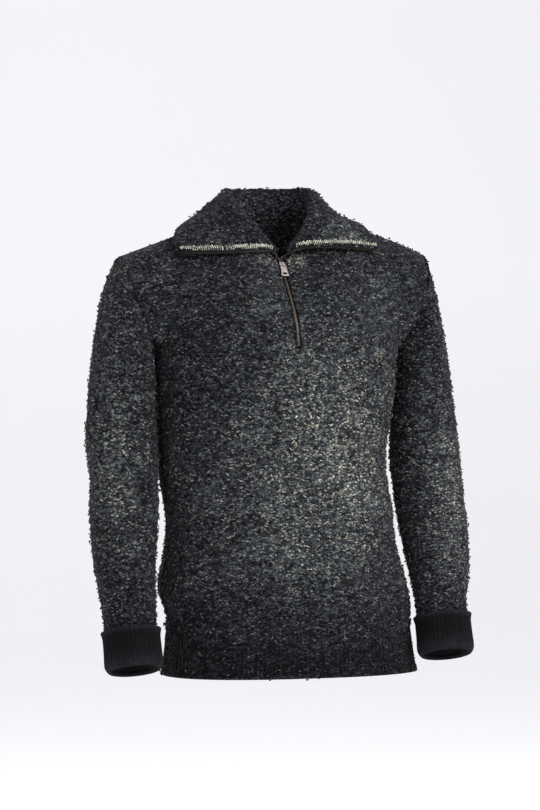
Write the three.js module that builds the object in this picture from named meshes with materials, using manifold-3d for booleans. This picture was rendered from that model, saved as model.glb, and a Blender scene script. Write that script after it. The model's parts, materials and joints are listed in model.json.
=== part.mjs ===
// Half-zip pullover in chunky boucle knit, in the hollow shape it takes when worn.
// Millimetres, +Z up, the front faces -Y. Right and left are the wearer's: left is +X.
// The origin is midway between the two points where a shoulder seam meets the neck.
import * as THREE from 'three';
import { mergeVertices } from 'three/addons/utils/BufferGeometryUtils.js';
import Module from 'manifold-3d';

const KNIT = 5;              // boucle wall, out to the tips of its tufts
const RIB_WALL = 3;          // plain wall under the ribs
const SEAM = 0.4;            // clear space between two pieces at a seam
const ROUNDNESS = 2.4;       // 2 is an ellipse, more is squarer
const ARMPIT_Z = -205;
const RIB_TOP_Z = -640;
const HEM_Z = -720;
const SLIT = 3;              // half width of the slit that the zip closes, at its foot
const SLIT_TOP = 5;          // and under the slider, where the teeth part
const NECK_SHARE = 0.4;      // part of the half width taken by the neck opening
const NECK_HALF = 82;
const NECK_FRONT = { y: -52, z: -66 };   // top of the slit, where the slider stands
const NECK_BACK = { y: 68, z: 4 };
const NECK_SIDE_Z = 6;
const ARMHOLE_HALF_DEPTH = 62;
const HEM_RIB = { perPanel: 74, rise: 1.3 };
const CUFF_RIB = { around: 40, rise: 1.1 };

// outline of the body, a row per level
const TORSO = [
  { z: -720, half: 211, front: 124, back: 116, x: 31 },
  { z: -691, half: 206, front: 122, back: 114, x: 30 },
  { z: -653, half: 201, front: 122, back: 113, x: 28 },
  { z: -622, half: 200, front: 128, back: 118, x: 30 },
  { z: -592, half: 205, front: 136, back: 126, x: 21 },
  { z: -557, half: 199, front: 134, back: 122, x: 18 },
  { z: -515, half: 189, front: 127, back: 112, x: 15 },
  { z: -475, half: 187, front: 123, back: 106, x: 18 },
  { z: -422, half: 187, front: 119, back: 101, x: 8 },
  { z: -365, half: 186, front: 118, back: 100, x: 2 },
  { z: -325, half: 191, front: 120, back: 104, x: 6 },
  { z: -253, half: 197, front: 124, back: 112, x: 8 },
  { z: -205, half: 199, front: 124, back: 117, x: 6 },
  { z: -170, half: 201, front: 122, back: 120, x: 6 },
];

// soft folds of the body: angle from the centre front and width in degrees, level and height
// in mm, how far the fold stands out, and how many mm it climbs over a radian
const FOLDS = [
  { angle: -62, z: -500, wide: 34, tall: 22, rise: -8, slant: 60 },
  { angle: -40, z: -548, wide: 40, tall: 26, rise: 6, slant: 70 },
  { angle: 52, z: -470, wide: 40, tall: 24, rise: -6, slant: -50 },
  { angle: 20, z: -585, wide: 46, tall: 24, rise: 5, slant: -30 },
  { angle: -35, z: -300, wide: 22, tall: 70, rise: 4, slant: 0 },
  { angle: 140, z: -470, wide: 40, tall: 24, rise: -7, slant: 60 },
  { angle: -150, z: -530, wide: 44, tall: 26, rise: 7, slant: -60 },
  { angle: 180, z: -400, wide: 30, tall: 40, rise: -5, slant: 0 },
];

// shoulder seams: where each ends on the sleeve, and how far its middle swells
const SHOULDER = {
  right: { side: -1, x: 252, z: -60, swell: -1 },
  left: { side: 1, x: 254, z: -45, swell: 6 },
};

// sleeves, a row per section: its outer point, its inner point, place from front to back,
// half depth, lean of the section towards the front in degrees, and how far its front and
// back points stand out from the line between the two
const SLEEVE = {
  right: [
    { outX: 259, outZ: -74, inX: 195.5, inZ: -208.5, y: 0, deep: 64.5, lean: 0, bulge: 18.5 },
    { outX: 267, outZ: -92, inX: 196, inZ: -215, y: 0, deep: 65, lean: 0, bulge: 15 },
    { outX: 275, outZ: -114, inX: 195, inZ: -226, y: 0, deep: 65, lean: 0, bulge: 12 },
    { outX: 282, outZ: -143, inX: 194, inZ: -241, y: 1, deep: 64, lean: 0, bulge: 8 },
    { outX: 289, outZ: -181, inX: 193, inZ: -259, y: 2, deep: 63, lean: 0, bulge: 5 },
    { outX: 294, outZ: -222, inX: 191.5, inZ: -282, y: 4, deep: 62, lean: 0, bulge: 3 },
    { outX: 299, outZ: -266, inX: 190.5, inZ: -308, y: 5, deep: 61, lean: 0, bulge: 1 },
    { outX: 303, outZ: -312, inX: 189, inZ: -336, y: 6, deep: 61, lean: 0, bulge: 0 },
    { outX: 305, outZ: -360, inX: 187, inZ: -368, y: 6, deep: 62, lean: 2, bulge: 0 },
    { outX: 297, outZ: -408, inX: 188.5, inZ: -403, y: 2, deep: 60, lean: 7, bulge: 0 },
    { outX: 302, outZ: -450, inX: 190.5, inZ: -444, y: -8, deep: 60, lean: 13, bulge: 0 },
    { outX: 304, outZ: -494, inX: 195, inZ: -491, y: -24, deep: 57, lean: 17, bulge: 0 },
    { outX: 304, outZ: -538, inX: 203.5, inZ: -535, y: -40, deep: 53, lean: 18, bulge: 0 },
    { outX: 298, outZ: -582, inX: 205.5, inZ: -579, y: -54, deep: 49, lean: 18, bulge: 0 },
    { outX: 294.5, outZ: -624, inX: 209, inZ: -622, y: -67, deep: 43.5, lean: 18, bulge: 0 },
    { outX: 292, outZ: -651, inX: 210.5, inZ: -650, y: -75, deep: 41, lean: 18, bulge: 0 },
  ],
  left: [
    { outX: 260, outZ: -66, inX: 208, inZ: -208.5, y: 0, deep: 64, lean: 0, bulge: 15 },
    { outX: 267, outZ: -86, inX: 209, inZ: -215, y: 0, deep: 65, lean: 0, bulge: 13 },
    { outX: 274, outZ: -110, inX: 210, inZ: -226, y: 0, deep: 65, lean: 0, bulge: 11 },
    { outX: 284, outZ: -141, inX: 210, inZ: -241, y: 1, deep: 64, lean: 0, bulge: 8 },
    { outX: 293, outZ: -180, inX: 210, inZ: -259, y: 2, deep: 63, lean: 0, bulge: 5 },
    { outX: 303, outZ: -222, inX: 209, inZ: -282, y: 3, deep: 61, lean: 0, bulge: 3 },
    { outX: 309, outZ: -266, inX: 207, inZ: -308, y: 4, deep: 59, lean: 0, bulge: 1 },
    { outX: 317, outZ: -312, inX: 206, inZ: -336, y: 4, deep: 58, lean: 0, bulge: 0 },
    { outX: 323, outZ: -362, inX: 205, inZ: -370, y: 4, deep: 59, lean: 2, bulge: 0 },
    { outX: 326, outZ: -410, inX: 206, inZ: -405, y: 0, deep: 60, lean: 8, bulge: 0 },
    { outX: 326, outZ: -452, inX: 208, inZ: -448, y: -12, deep: 59, lean: 14, bulge: 0 },
    { outX: 325, outZ: -494, inX: 210, inZ: -490, y: -28, deep: 57, lean: 18, bulge: 0 },
    { outX: 323, outZ: -538, inX: 214, inZ: -534, y: -45, deep: 53, lean: 18, bulge: 0 },
    { outX: 315, outZ: -580, inX: 219.5, inZ: -577, y: -59, deep: 48, lean: 18, bulge: 0 },
    { outX: 308, outZ: -615, inX: 222, inZ: -613, y: -70, deep: 43, lean: 18, bulge: 0 },
    { outX: 305.5, outZ: -640, inX: 224, inZ: -639, y: -77, deep: 41, lean: 18, bulge: 0 },
  ],
};

// the cuff in section: distance past the sleeve's end and wall radius, face and lining side
const CUFF = [
  { face: [SEAM, 33.5], hidden: [SEAM, 36.5] },
  { face: [48, 34], hidden: [47, 37] },
  { face: [55, 39.5], hidden: [51.5, 39.7] },
  { face: [48, 46], hidden: [47, 43] },
  { face: [-8, 45.6], hidden: [-8, 42.6] },
];
const CUFF_RIBBED_ROWS = 2;  // the fold and all after it carry the ribs

// funnel collar lying open, a row per station counted from the right end of the zip
const COLLAR_WALL = 4;
const COLLAR_SPACE = 2.4;    // between its two layers
const COLLAR_SEAM = 1.4;     // clear space over the panels' neck rim
const COLLAR_CORNER = 2;     // and this much more where the rim turns into the slit
const COLLAR_PRESS = [0.6, 0.7, 0.8, 0.9];   // its layers are pressed thin near the seam,
const END_PRESS = [0.4, 0.35, 0.32, 0.55];    // more so where they meet the zip
const COLLAR_STEPS = [0, 0.14, 0.27, 0.38, 0.46, 0.54, 0.64, 0.76, 0.88, 1];
const COLLAR_FOLD = [35, -35];   // turns of the fold along the free edge
const COLLAR = [
  { at: 0, roll: [-18, -68, -48], fall: [-1, -1.08, 0.62, 12], edge: [-1, -1.47, 0.71, 9] },
  { at: 2, roll: [-43, -66, -20], fall: [-1, -1.12, 0.78, 14], edge: [-1, -1.5, 0.84, 8] },
  { at: 4, roll: [-65, -42, 14], fall: [-1, -1.15, 0.93, 18], edge: [-1, -1.44, 0.95, 8] },
  { at: 6, roll: [-70, -2, 44], fall: [1, -1.16, 0.99, 19], edge: [1, -1.36, 0.97, 10] },
  { at: 9, roll: [-52, 54, 54], fall: [1, -1.04, 0.9, 22], edge: [1, -1.18, 0.84, 16] },
  { at: 12, roll: [0, 76, 57], fall: [1, 0, 0.97, 22], edge: [1, 0, 0.8, 13] },
  { at: 15, roll: [52, 54, 57], fall: [1, 1.04, 0.9, 22], edge: [1, 1.18, 0.84, 16] },
  { at: 18, roll: [67, -2, 53], fall: [1, 1.1, 0.99, 19], edge: [1, 1.33, 0.97, 9] },
  { at: 20, roll: [61, -38, 21], fall: [-1, 1.06, 0.92, 16], edge: [-1, 1.37, 0.93, 8] },
  { at: 22, roll: [42, -60, -14], fall: [-1, 1.07, 0.79, 15], edge: [-1, 1.42, 0.8, 8] },
  { at: 24, roll: [19, -67, -44], fall: [-1, 1.04, 0.66, 13], edge: [-1, 1.41, 0.69, 9] },
];

// zip: half sections are measured from the slit's middle and from the panel's inner side
const TAPE = {
  thick: 0.8, flange: 12, droop: 0.9, bead: 2.2, rise: 3.6, openRise: 2, openReach: 3,
};
const SLIDER = { wide: 9, long: 11, plate: 1.4, post: 1.4, postLong: 3, arch: 2.4 };
const TAB = { long: 24, top: 8, bottom: 12, thick: 1.4, bar: 1.6, eye: [4, 3.8], window: [6.4, 4] };
const TAB_CLEAR = 0.5;

const degrees = THREE.MathUtils.degToRad;
const vec = (x, y, z) => new THREE.Vector3(x, y, z);
const toward = (a, b, t) => a.clone().lerp(b, t);
const out = (p, direction, distance) => p.clone().addScaledVector(direction, distance);

/** Value of one column of a table at a key, smooth through its rows. */
function along(rows, key, at, column) {
  const sign = Math.sign(rows[rows.length - 1][key] - rows[0][key]);
  let i = 0;
  while (i < rows.length - 2 && sign * (at - rows[i + 1][key]) > 0) i += 1;
  const slope = (k) => {
    const a = rows[Math.max(0, k - 1)];
    const b = rows[Math.min(rows.length - 1, k + 1)];
    return (b[column] - a[column]) / (b[key] - a[key]);
  };
  const span = rows[i + 1][key] - rows[i][key];
  return hermite(rows[i][column], slope(i) * span, rows[i + 1][column], slope(i + 1) * span,
    (at - rows[i][key]) / span);
}

function hermite(a, slopeA, b, slopeB, t) {
  const t2 = t * t;
  const t3 = t2 * t;
  return (2 * t3 - 3 * t2 + 1) * a + (t3 - 2 * t2 + t) * slopeA
    + (3 * t2 - 2 * t3) * b + (t3 - t2) * slopeB;
}

/** Closed wall between two matching sets of points; every open edge gets a rim. */
function wall(faces, outer, inner) {
  const count = outer.length;
  const index = [];
  const edges = new Set();
  for (const [a, b, c] of faces) {
    index.push(a, b, c, c + count, b + count, a + count);
    for (const [p, q] of [[a, b], [b, c], [c, a]]) edges.add(`${p} ${q}`);
  }
  for (const edge of edges) {
    const [a, b] = edge.split(' ').map(Number);
    if (!edges.has(`${b} ${a}`)) index.push(b, a, a + count, b, a + count, b + count);
  }
  const geometry = new THREE.BufferGeometry().setFromPoints([...outer, ...inner]);
  geometry.setIndex(index);
  return geometry;
}

/** Triangles of a grid of rows and columns; skip leaves single cells out. */
function gridFaces(rows, columns, { around = false, flip = false, skip = () => false } = {}) {
  const faces = [];
  for (let r = 0; r < rows - 1; r += 1) {
    for (let c = 0; c < (around ? columns : columns - 1); c += 1) {
      if (skip(r, c)) continue;
      const next = (c + 1) % columns;
      const [a, b, d, e] = [r * columns + c, r * columns + next,
        (r + 1) * columns + next, (r + 1) * columns + c];
      if (flip) faces.push([a, d, b], [a, e, d]);
      else faces.push([a, b, d], [a, d, e]);
    }
  }
  return faces;
}

/** Outward directions at the points of a set of faces. */
function directions(points, faces) {
  const sum = points.map(() => vec(0, 0, 0));
  for (const [a, b, c] of faces) {
    const normal = points[b].clone().sub(points[a]).cross(points[c].clone().sub(points[a]));
    for (const k of [a, b, c]) sum[k].add(normal);
  }
  return sum.map((n) => n.normalize());
}

function foldSwell(angle, z) {
  let swell = 0;
  for (const fold of FOLDS) {
    let turn = THREE.MathUtils.radToDeg(angle) - fold.angle;
    turn -= 360 * Math.round(turn / 360);
    const drop = z - fold.z - degrees(turn) * fold.slant;
    swell += fold.rise * Math.exp(-((turn / fold.wide) ** 2) - (drop / fold.tall) ** 2);
  }
  return swell;
}

/** Point of the body's outer surface; angle 0 is the centre front, 90 degrees the left side. */
function bodyPoint(angle, z) {
  const bow = (v) => Math.sign(v) * Math.abs(v) ** (2 / ROUNDNESS);
  const c = Math.cos(angle);
  const swell = foldSwell(angle, z);
  const depth = along(TORSO, 'z', z, c > 0 ? 'front' : 'back') + swell;
  const half = along(TORSO, 'z', z, 'half') + swell;
  return vec(along(TORSO, 'z', z, 'x') + half * bow(Math.sin(angle)), -depth * bow(c), z);
}

/** Level outward direction of the body at an angle. */
function bodyOut(angle, z) {
  const step = 0.02;
  const tangent = bodyPoint(angle + step, z).sub(bodyPoint(angle - step, z));
  return vec(tangent.y, -tangent.x, 0).normalize();
}

/** Point of the neckline; share 0 is the centre, 1 the shoulder seam. */
function necklinePoint(facing, side, share) {
  if (facing < 0) {
    return vec(side * Math.max(SLIT_TOP, NECK_HALF * share ** 0.95),
      NECK_FRONT.y * (1 - share ** 2) ** 0.6,
      THREE.MathUtils.lerp(NECK_FRONT.z, NECK_SIDE_Z, share ** 1.15));
  }
  const turn = (share * Math.PI) / 2;
  return vec(side * NECK_HALF * Math.sin(turn), NECK_BACK.y * Math.cos(turn),
    THREE.MathUtils.lerp(NECK_BACK.z, NECK_SIDE_Z, share));
}

function shoulderPoint(shoulder, share) {
  return vec(shoulder.side * THREE.MathUtils.lerp(NECK_HALF, shoulder.x, share), 0,
    THREE.MathUtils.lerp(NECK_SIDE_Z, shoulder.z, share)
      + shoulder.swell * Math.sin(Math.PI * share));
}

const armpitX = (shoulder) => bodyPoint(degrees(90 * shoulder.side), ARMPIT_Z).x;

/** Armhole edge; turn 0 is the shoulder seam, 90 degrees the front, 180 the armpit. */
function armholePoint(shoulder, turn, inset = 0) {
  const half = (shoulder.z - ARMPIT_Z) / 2;
  const height = (1 + Math.cos(turn)) / 2;
  const low = armpitX(shoulder);
  return vec(THREE.MathUtils.lerp(low, shoulder.side * shoulder.x, 1 - (1 - height) ** 2),
    -(ARMHOLE_HALF_DEPTH - inset) * Math.sin(turn),
    ARMPIT_Z + half + (half - inset) * Math.cos(turn));
}

// columns of a panel from the centre: the neck's share of the top, then the shoulder's
const NECK_COLUMNS = 6;
const SHOULDER_COLUMNS = 7;
const UPPER_ROWS = 9;
const LOWER_LEVELS = [RIB_TOP_Z, -622, -592, -562, -532, -500, -466, -420, -366, -310, -256,
  ARMPIT_Z];
const NECK_EDGE_TURN = Math.asin(NECK_SHARE ** (ROUNDNESS / 2));

/** Angle round the body below a place across a panel; 1 is the neck's side, 2 the armhole. */
function turnBelow(across) {
  const size = Math.abs(across);
  const turn = size <= 1
    ? Math.asin((NECK_SHARE * size) ** (ROUNDNESS / 2))
    : THREE.MathUtils.lerp(NECK_EDGE_TURN, Math.PI / 2, size - 1);
  return Math.sign(across) * turn;
}

/** Point of a panel above the armpits: across from -2 to 2, up from 0 to 1. */
function upperPoint(facing, across, up) {
  const side = across < 0 ? -1 : 1;
  const shoulder = side < 0 ? SHOULDER.right : SHOULDER.left;
  const size = Math.abs(across);
  const turn = turnBelow(across);
  const low = bodyPoint(facing < 0 ? turn : Math.PI - turn, ARMPIT_Z);
  if (size < 1e-6) low.x += side * SLIT * (facing < 0 ? 1 : 0);
  const climb = (end) => {
    const top = end <= 1 ? necklinePoint(facing, side, end) : shoulderPoint(shoulder, end - 1);
    const reach = low.distanceTo(top);
    const ease = Math.min(1, end / 1.4);
    const lean = vec(0, -facing * THREE.MathUtils.lerp(0.55, 0.95, ease),
      THREE.MathUtils.lerp(0.83, 0.25, ease)).multiplyScalar(reach);
    return vec(hermite(low.x, 0, top.x, 0, up), hermite(low.y, 0, top.y, lean.y, up),
      hermite(low.z, reach, top.z, lean.z, up));
  };
  const point = climb(size);
  if (size > 1) {
    const edge = armholePoint(shoulder, Math.PI * (1 - up));
    edge.y *= -facing;
    const wanted = bodyPoint(facing < 0 ? side * Math.PI / 2 : Math.PI - side * Math.PI / 2,
      ARMPIT_Z);
    const sideTop = shoulderPoint(shoulder, 1);
    const reach = wanted.distanceTo(sideTop);
    const plain = vec(hermite(wanted.x, 0, sideTop.x, 0, up),
      hermite(wanted.y, 0, sideTop.y, -facing * 0.95 * reach, up),
      hermite(wanted.z, reach, sideTop.z, 0.25 * reach, up));
    point.addScaledVector(edge.sub(plain), (size - 1) ** 3);
  }
  return point;
}

/** Front or back panel as a grid of outer and inner points with its faces. */
function panelGrid(facing) {
  const places = [];
  for (let k = 0; k <= NECK_COLUMNS; k += 1) places.push(k / NECK_COLUMNS);
  for (let k = 1; k <= SHOULDER_COLUMNS; k += 1) places.push(1 + k / SHOULDER_COLUMNS);
  const slit = facing < 0;
  const columns = [...places.slice(1).reverse().map((p) => -p), ...(slit ? [-0, 0] : [0]),
    ...places.slice(1)];
  const outer = [];
  const ups = Array.from({ length: UPPER_ROWS }, (_, k) => (k + 1) / UPPER_ROWS);
  const sideOf = (c) => (c < columns.length / 2 ? -1 : 1);
  const seamShift = facing * SEAM / 2;
  for (const z of LOWER_LEVELS) {
    columns.forEach((across, c) => {
      const turn = turnBelow(across);
      const point = bodyPoint(slit ? turn : Math.PI - turn, z);
      if (slit && across === 0) point.x += sideOf(c) * SLIT;
      outer.push(point);
    });
  }
  for (const up of ups) {
    columns.forEach((across, c) => {
      outer.push(upperPoint(facing, across === 0 ? sideOf(c) * 1e-9 : across, up));
    });
  }
  const rows = LOWER_LEVELS.length + ups.length;
  const wide = columns.length;
  const faces = gridFaces(rows, wide, {
    flip: !slit,
    skip: (r, c) => slit && r >= LOWER_LEVELS.length - 1 && c === wide / 2 - 1,
  });
  const normals = directions(outer, faces);
  const inner = outer.map((point, k) => {
    const row = Math.floor(k / wide);
    const column = k % wide;
    const across = columns[column];
    const turn = turnBelow(across);
    if (row < LOWER_LEVELS.length) {
      const level = bodyOut(slit ? turn : Math.PI - turn, point.z);
      if (Math.abs(across) === 2) level.set(sideOf(column), 0, 0);
      if (row < LOWER_LEVELS.length - 1 || Math.abs(across) < 2) return out(point, level, -KNIT);
    }
    if (Math.abs(across) === 2) {
      const shoulder = across < 0 ? SHOULDER.right : SHOULDER.left;
      const up = (row - LOWER_LEVELS.length + 1) / UPPER_ROWS;
      const edge = armholePoint(shoulder, Math.PI * (1 - up), KNIT);
      edge.y *= -facing;
      return edge;
    }
    if (row === rows - 1 && Math.abs(across) >= 1) {
      return out(point, vec(sideOf(column) * 0.3, 0, 0.954), -KNIT);
    }
    return out(point, normals[k], -KNIT);
  });
  for (const points of [outer, inner]) {
    points.forEach((point, k) => {
      const row = Math.floor(k / wide);
      const across = columns[k % wide];
      const onSide = Math.abs(across) === 2 && (row < LOWER_LEVELS.length || row === rows - 1);
      const onShoulder = row === rows - 1 && Math.abs(across) >= 1;
      if (onSide || onShoulder) point.y = seamShift;
      if (row === 0) point.z += SEAM / 2;
    });
  }
  return { outer, inner, faces, columns, rows, wide };
}

function panel(grid) {
  return wall(grid.faces, grid.outer, grid.inner);
}

/** Sleeve from the armhole to the cuff, in sections round the arm. */
function sleeve(name) {
  const shoulder = SHOULDER[name];
  const { side } = shoulder;
  const around = 2 * UPPER_ROWS;
  const turns = Array.from({ length: around }, (_, k) => (k / around) * 2 * Math.PI);
  const clear = turns.map((turn) => {
    const along = armholePoint(shoulder, turn + 0.05).sub(armholePoint(shoulder, turn - 0.05));
    const depth = armholePoint(shoulder, turn).sub(armholePoint(shoulder, turn, KNIT));
    const away = along.cross(depth).normalize();
    return away.multiplyScalar(1.3 * SEAM * Math.sign(away.x * side));
  });
  const outer = turns.map((turn, k) => armholePoint(shoulder, turn).add(clear[k]));
  const innerEdge = turns.map((turn, k) => armholePoint(shoulder, turn, KNIT).add(clear[k]));
  for (const row of SLEEVE[name]) {
    const { centre, across, forward } = sleeveSection(row, side);
    for (const turn of turns) {
      outer.push(centre.clone().addScaledVector(across, Math.cos(turn))
        .addScaledVector(forward, Math.sin(turn))
        .add(vec(side * row.bulge * Math.sin(turn) ** 2, 0, 0)));
    }
  }
  const faces = gridFaces(SLEEVE[name].length + 1, around, { around: true, flip: side < 0 });
  const normals = directions(outer, faces);
  const inner = outer.map((p, k) => (k < around ? innerEdge[k] : out(p, normals[k], -KNIT)));
  return wall(faces, outer, inner);
}

function sleeveSection(row, side) {
  const outPoint = vec(side * row.outX, row.y, row.outZ);
  const inPoint = vec(side * row.inX, row.y, row.inZ);
  const lean = degrees(row.lean);
  return {
    centre: toward(outPoint, inPoint, 0.5),
    across: outPoint.clone().sub(inPoint).multiplyScalar(0.5),
    forward: vec(0, -row.deep * Math.cos(lean), row.deep * Math.sin(lean)),
  };
}

/** Ribbed hem under one panel. */
function hemRib(facing) {
  const count = 2 * HEM_RIB.perPanel;
  const outer = [];
  const inner = [];
  for (const z of [HEM_Z, RIB_TOP_Z - SEAM / 2]) {
    evenTurns(z, count).forEach((turn, k) => {
      const angle = facing < 0 ? turn : Math.PI - turn;
      const onSide = k === 0 || k === count;
      const direction = onSide ? vec(Math.sign(turn), 0, 0) : bodyOut(angle, z);
      const base = out(bodyPoint(angle, z), direction, -HEM_RIB.rise);
      const points = [out(base, direction, k % 2 ? HEM_RIB.rise : 0),
        out(base, direction, -RIB_WALL)];
      if (onSide) for (const point of points) point.y = facing * SEAM / 2;
      outer.push(points[0]);
      inner.push(points[1]);
    });
  }
  return wall(gridFaces(2, count + 1, { flip: facing > 0 }), outer, inner);
}

/** Turns from side to side of a panel, an equal length of cloth apart. */
function evenTurns(z, count) {
  const fine = 8 * count;
  const turnAt = (k) => THREE.MathUtils.lerp(-Math.PI / 2, Math.PI / 2, k / fine);
  const lengths = [0];
  for (let k = 1; k <= fine; k += 1) {
    lengths.push(lengths[k - 1] + bodyPoint(turnAt(k), z).distanceTo(bodyPoint(turnAt(k - 1), z)));
  }
  return Array.from({ length: count + 1 }, (_, n) => {
    const wanted = (n / count) * lengths[fine];
    const k = Math.min(fine - 1, Math.max(0, lengths.findIndex((v) => v >= wanted) - 1));
    const part = (wanted - lengths[k]) / (lengths[k + 1] - lengths[k]);
    return turnAt(k + part);
  });
}

/** Turned-up cuff: an inner layer, a fold, and an outer layer that covers the sleeve's end. */
function cuff(name) {
  const { side } = SHOULDER[name];
  const end = SLEEVE[name][SLEEVE[name].length - 1];
  const { centre, across, forward } = sleeveSection(end, side);
  const size = across.length();
  const sideways = across.clone().divideScalar(size);
  const front = forward.clone().divideScalar(end.deep);
  const down = sideways.clone().cross(front).normalize();
  if (down.z > 0) down.negate();
  const count = 2 * CUFF_RIB.around;
  const ring = (past, radius, rise) => Array.from({ length: count }, (_, k) => {
    const turn = (k / count) * 2 * Math.PI;
    const reach = radius + (k % 2 ? rise : 0);
    return out(centre, down, past).addScaledVector(sideways, reach * Math.cos(turn))
      .addScaledVector(front, (reach + end.deep - size) * Math.sin(turn));
  });
  const outer = CUFF.flatMap(({ face }, k) => ring(face[0], face[1],
    k >= CUFF_RIBBED_ROWS ? CUFF_RIB.rise : 0));
  const inner = CUFF.flatMap(({ hidden }) => ring(hidden[0], hidden[1], 0));
  return wall(gridFaces(CUFF.length, count, { around: true, flip: side > 0 }), outer, inner);
}

/** Middle of the panels' neck rim with its directions, from the right end of the zip round. */
function neckRim(front, back) {
  const pick = (grid, column) => {
    const k = (grid.rows - 1) * grid.wide + column;
    return {
      middle: toward(grid.outer[k], grid.inner[k], 0.5),
      outward: grid.outer[k].clone().sub(grid.inner[k]).normalize(),
    };
  };
  const frontLeft = front.wide / 2;
  const rim = [];
  for (let k = 0; k <= NECK_COLUMNS; k += 1) rim.push(pick(front, frontLeft - 1 - k));
  const backCentre = (back.wide - 1) / 2;
  for (let k = 1; k < 2 * NECK_COLUMNS; k += 1) {
    rim.push(pick(back, backCentre - NECK_COLUMNS + k));
  }
  for (let k = NECK_COLUMNS; k >= 0; k -= 1) rim.push(pick(front, frontLeft + k));
  rim.forEach((place, k) => {
    const before = rim[Math.max(0, k - 1)].middle;
    const after = rim[Math.min(rim.length - 1, k + 1)].middle;
    place.rise = place.outward.clone().cross(after.clone().sub(before)).normalize();
    const inside = vec(0, 0, place.middle.z + NECK_HALF).sub(place.middle);
    place.rise.multiplyScalar(Math.sign(place.rise.dot(inside)));
    if (k === 0 || k === rim.length - 1) place.rise.setX(0).normalize();  // along the slit
  });
  return rim;
}

/** Point that lies off a panel: facing, place across, place up, and distance out. */
function offPanel([facing, across, up, lift]) {
  const step = 0.02;
  const at = upperPoint(facing, across, up);
  const sideways = upperPoint(facing, across + step, up).sub(at);
  const upward = at.clone().sub(upperPoint(facing, across, up - step));
  return out(at, sideways.cross(upward).normalize().multiplyScalar(-facing), lift);
}

/** Middle surface of the open collar, a column per station from seam to free edge. */
function collarMiddle(rim) {
  const stations = COLLAR.map((row) => ({
    at: row.at,
    roll: vec(...row.roll),
    fall: offPanel(row.fall),
    edge: offPanel(row.edge),
  }));
  const smooth = (at, key) => {
    const rows = stations.map((s) => ({ at: s.at, x: s[key].x, y: s[key].y, z: s[key].z }));
    return vec(...['x', 'y', 'z'].map((axis) => along(rows, 'at', at, axis)));
  };
  const columns = rim.map(({ middle, rise }, at) => {
    const atCorner = at < 2 || at > rim.length - 3;
    const seam = out(middle, rise, COLLAR_SEAM + (atCorner ? COLLAR_CORNER : 0));
    const stand = toward(seam, smooth(at, 'roll'), 0.4);
    stand.lerp(out(seam, rise, stand.distanceTo(seam)), 0.6);
    const curve = new THREE.CatmullRomCurve3(
      [seam, stand, smooth(at, 'roll'), smooth(at, 'fall'), smooth(at, 'edge')], false,
      'centripetal');
    return COLLAR_STEPS.map((t) => curve.getPoint(t));
  });
  const count = columns.length;
  const points = COLLAR_STEPS.flatMap((_, r) => columns.map((column) => column[r]));
  const normals = directions(points, gridFaces(COLLAR_STEPS.length, count));
  // the seam's row lies in the plane of the panels' rim
  rim.forEach(({ outward }, c) => {
    const sameWay = Math.sign(normals[c].dot(outward));
    normals[c].copy(outward).multiplyScalar(sameWay);
  });
  return { points, normals, count };
}

/** Collar of two layers joined by a fold along the free edge. */
function collar({ points, normals, count }) {
  const rows = COLLAR_STEPS.length;
  const layer = (r, distance) => Array.from({ length: count }, (_, c) => {
    const press = c === 0 || c === count - 1 ? END_PRESS : COLLAR_PRESS;
    return out(points[r * count + c], normals[r * count + c], distance * (press[r] ?? 1));
  });
  const bend = (turn, distance) => Array.from({ length: count }, (_, c) => {
    const k = (rows - 1) * count + c;
    const forward = points[k].clone().sub(points[k - count]).normalize();
    return out(points[k], normals[k], distance * Math.sin(degrees(turn)))
      .addScaledVector(forward, distance * Math.cos(degrees(turn)));
  });
  const steps = COLLAR_STEPS.map((_, r) => r);
  const skin = (distance) => [
    ...steps.flatMap((r) => layer(r, distance)),
    ...COLLAR_FOLD.flatMap((turn) => bend(turn, distance)),
    ...[...steps].reverse().flatMap((r) => layer(r, -distance)),
  ];
  return wall(gridFaces(2 * rows + COLLAR_FOLD.length, count),
    skin(COLLAR_SPACE / 2 + COLLAR_WALL), skin(COLLAR_SPACE / 2));
}

/** Middle line of the slit with its outward direction; up runs from 0 at its foot to 1. */
function slitLine(front, up) {
  const at = up * UPPER_ROWS;
  const row = Math.min(UPPER_ROWS - 1, Math.floor(at));
  const pick = (r) => {
    const k = (LOWER_LEVELS.length - 1 + r) * front.wide + front.wide / 2;
    const place = toward(front.inner[k], front.inner[k - 1], 0.5);
    const outward = toward(front.outer[k], front.outer[k - 1], 0.5).sub(place).normalize();
    return { place, outward };
  };
  const [low, high] = [pick(row), pick(row + 1)];
  return {
    place: toward(low.place, high.place, at - row),
    outward: toward(low.outward, high.outward, at - row).normalize(),
  };
}

/** Half of the zip, section by section: closed in the slit, then along the open collar. */
function zipStations(front, middle, side) {
  const closed = ZIP_CLOSED.map(({ up, start, reach }) => ({
    ...slitLine(front, up), inward: vec(side, 0, 0), start, reach, lift: -SEAM - TAPE.thick,
    rise: TAPE.rise, droop: reach > TAPE.bead + start ? TAPE.droop : 0,
  }));
  const edge = side < 0 ? 0 : middle.count - 1;
  const top = slitLine(front, 1);
  const open = COLLAR_STEPS.slice(1).map((_, r) => {
    const k = (r + 1) * middle.count + edge;
    const turned = Math.min(1, (r + 1) / 4);   // from the slit's frame to the collar's
    const nearSlider = r < 4;
    return {
      place: middle.points[k],
      outward: toward(top.outward, middle.normals[k].clone().negate(), turned).normalize(),
      inward: toward(vec(side, 0, 0),
        middle.points[k - side].clone().sub(middle.points[k]).normalize(), turned).normalize(),
      start: -TAPE.bead - (nearSlider ? 7 : 2) * SEAM,
      reach: nearSlider ? -6 * SEAM : TAPE.openReach,
      lift: -TAPE.thick / 2, rise: TAPE.openRise, droop: 0,
    };
  });
  return [...closed, ...open];
}
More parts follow.
